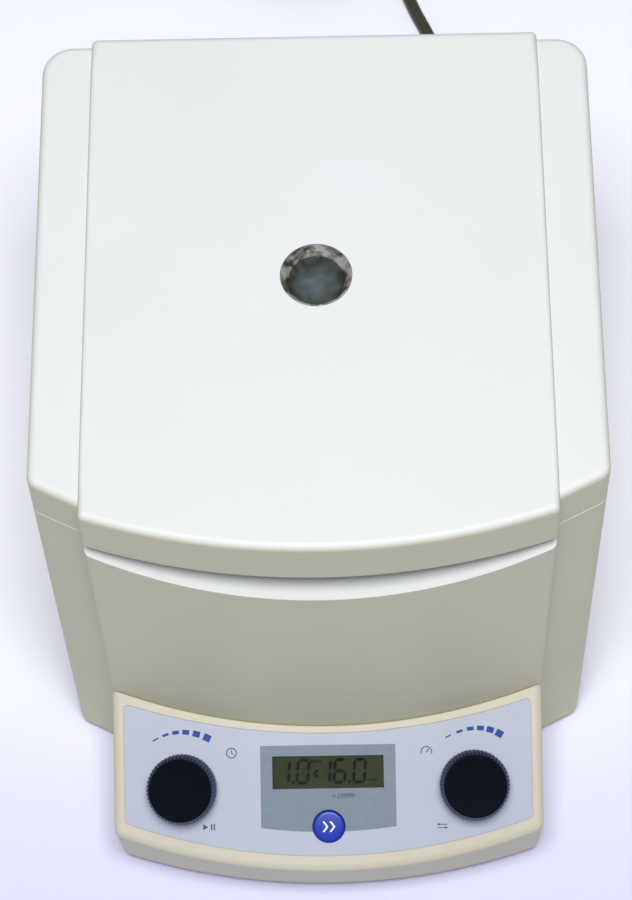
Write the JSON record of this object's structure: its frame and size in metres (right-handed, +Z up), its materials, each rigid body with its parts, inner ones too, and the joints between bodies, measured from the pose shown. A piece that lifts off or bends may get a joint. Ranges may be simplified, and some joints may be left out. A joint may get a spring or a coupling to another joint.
{
  "type": "microcentrifuge",
  "caption": "Benchtop microcentrifuge with hinged lid and viewing port, fixed-angle rotor in a steel chamber, sloping control console with two knobs, display and button, and mains lead.",
  "frame": {"origin": "on the table under the middle of the machine's outline, without its mains lead", "axes": "+Z up, the control console faces -Y, +X to the right seen from the console"},
  "size_m": [0.21, 0.56, 0.229],
  "materials": {
    "cover": "fine matte",
    "console_cream": "fine matte, slightly yellowed",
    "overlay_film": "satin film",
    "knob_navy": "satin",
    "button_blue": "gloss",
    "lcd_green": "behind glass",
    "clear_plastic": "clear",
    "sheet_steel": "zinc plated",
    "stainless": "spun",
    "rotor_alloy": "turned and anodised",
    "motor_grey": "satin",
    "copper_winding": "varnished",
    "shaft_steel": "ground",
    "rubber_black": "matte",
    "black_plastic": "satin",
    "grey_plastic": "satin",
    "board_green": "solder mask",
    "contact_metal": "nickel plated",
    "cord_sheath": "satin"
  },
  "bodies": {
    "machine": {"base_plate": "sheet_steel", "case_screws": "sheet_steel", "feet": "rubber_black", "housing": "cover", "rear_panel": "sheet_steel", "mains_inlet": "black_plastic", "inlet_pins": "contact_metal", "switch_frame": "black_plastic", "chamber_bowl": "stainless", "bowl_gasket": "rubber_black", "motor_can": "motor_grey", "motor_stator": "copper_winding", "shaft_bearings": "shaft_steel", "motor_mounts": "rubber_black", "motor_frame": "sheet_steel", "power_board": "board_green", "transformer": "copper_winding", "control_board": "board_green", "time_encoder": "grey_plastic", "speed_encoder": "grey_plastic", "lcd_display": "lcd_green", "display_window": "clear_plastic", "console": "console_cream", "panel_overlay": "overlay_film", "button_switch": "black_plastic", "hinge_pins": "shaft_steel", "hinge_brackets": "sheet_steel", "hinge_springs": "shaft_steel", "latch_frame": "sheet_steel", "latch_solenoid": "copper_winding", "mains_connector": "black_plastic", "mains_cord": "cord_sheath", "cord_coil": "cord_sheath", "cord_tie": "black_plastic", "mains_plug": "black_plastic", "plug_pins": "contact_metal"},
    "lid": {"lid_shell": "cover", "lid_liner": "sheet_steel", "lid_screws": "sheet_steel", "port_ring": "clear_plastic", "port_lens": "clear_plastic", "lid_hook": "shaft_steel", "hinge_arms": "sheet_steel"},
    "spindle": {"drive_shaft": "shaft_steel", "motor_armature": "motor_grey", "tube_rotor": "rotor_alloy", "rotor_nut": "shaft_steel", "rotor_lid": "rotor_alloy"},
    "rotor_lid_screw": {"rotor_lid_knob": "rotor_alloy"},
    "time_push": {"time_actuator": "black_plastic"},
    "time_dial": {"time_shaft": "shaft_steel", "time_knob": "knob_navy"},
    "speed_push": {"speed_actuator": "black_plastic"},
    "speed_dial": {"speed_shaft": "shaft_steel", "speed_knob": "knob_navy"},
    "short_key": {"short_button": "button_blue"},
    "rocker": {"power_rocker": "black_plastic"},
    "fuse_holder": {"fuse_drawer": "black_plastic"},
    "latch": {"latch_pawl": "black_plastic"},
    "plunger": {"latch_plunger": "shaft_steel"}
  },
  "joints": [
    {"name": "lid_hinge", "type": "hinge", "parent": "machine", "child": "lid", "pos_m": [0, 0.1372, 0.198], "axis": [-1, 0, 0], "range_deg": [0, 80]},
    {"name": "rotor_spin", "type": "hinge", "parent": "machine", "child": "spindle", "pos_m": [0, 0.022, 0.15], "axis": [0, 0, 1], "continuous": true},
    {"name": "rotor_lid_turn", "type": "hinge", "parent": "spindle", "child": "rotor_lid_screw", "pos_m": [0, 0.022, 0.18], "axis": [0, 0, 1], "range_deg": [0, 360]},
    {"name": "time_press", "type": "slide", "parent": "machine", "child": "time_push", "axis": [0, 0.4274, -0.9041], "range_m": [0, 0.0008], "stiffness_N_per_m": 2500, "springref_m": -0.0008},
    {"name": "time_turn", "type": "hinge", "parent": "time_push", "child": "time_dial", "pos_m": [-0.0584, -0.11253, 0.05543], "axis": [0, -0.4274, 0.9041], "continuous": true},
    {"name": "speed_press", "type": "slide", "parent": "machine", "child": "speed_push", "axis": [0, 0.4274, -0.9041], "range_m": [0, 0.0008], "stiffness_N_per_m": 2500, "springref_m": -0.0008},
    {"name": "speed_turn", "type": "hinge", "parent": "speed_push", "child": "speed_dial", "pos_m": [0.0584, -0.11253, 0.05543], "axis": [0, -0.4274, 0.9041], "continuous": true},
    {"name": "short_press", "type": "slide", "parent": "machine", "child": "short_key", "axis": [0, 0.4274, -0.9041], "range_m": [0, 0.0008], "stiffness_N_per_m": 2500, "springref_m": -0.0008},
    {"name": "power_rock", "type": "hinge", "parent": "machine", "child": "rocker", "pos_m": [0.014, 0.1225, 0.05], "axis": [-1, 0, 0], "range_deg": [0, 14]},
    {"name": "fuse_slide", "type": "slide", "parent": "machine", "child": "fuse_holder", "axis": [0, 1, 0], "range_m": [0, 0.012]},
    {"name": "latch_swing", "type": "hinge", "parent": "machine", "child": "latch", "pos_m": [0, -0.0795, 0.15], "axis": [-1, 0, 0], "range_deg": [0, 5]},
    {"name": "latch_pull", "type": "slide", "parent": "machine", "child": "plunger", "axis": [0, -1, 0], "range_m": [0, 0.0036]}
  ],
  "couplings": [
    {"joint": "latch_pull", "follows": "latch_swing", "m_per_rad": 0.04}
  ]
}
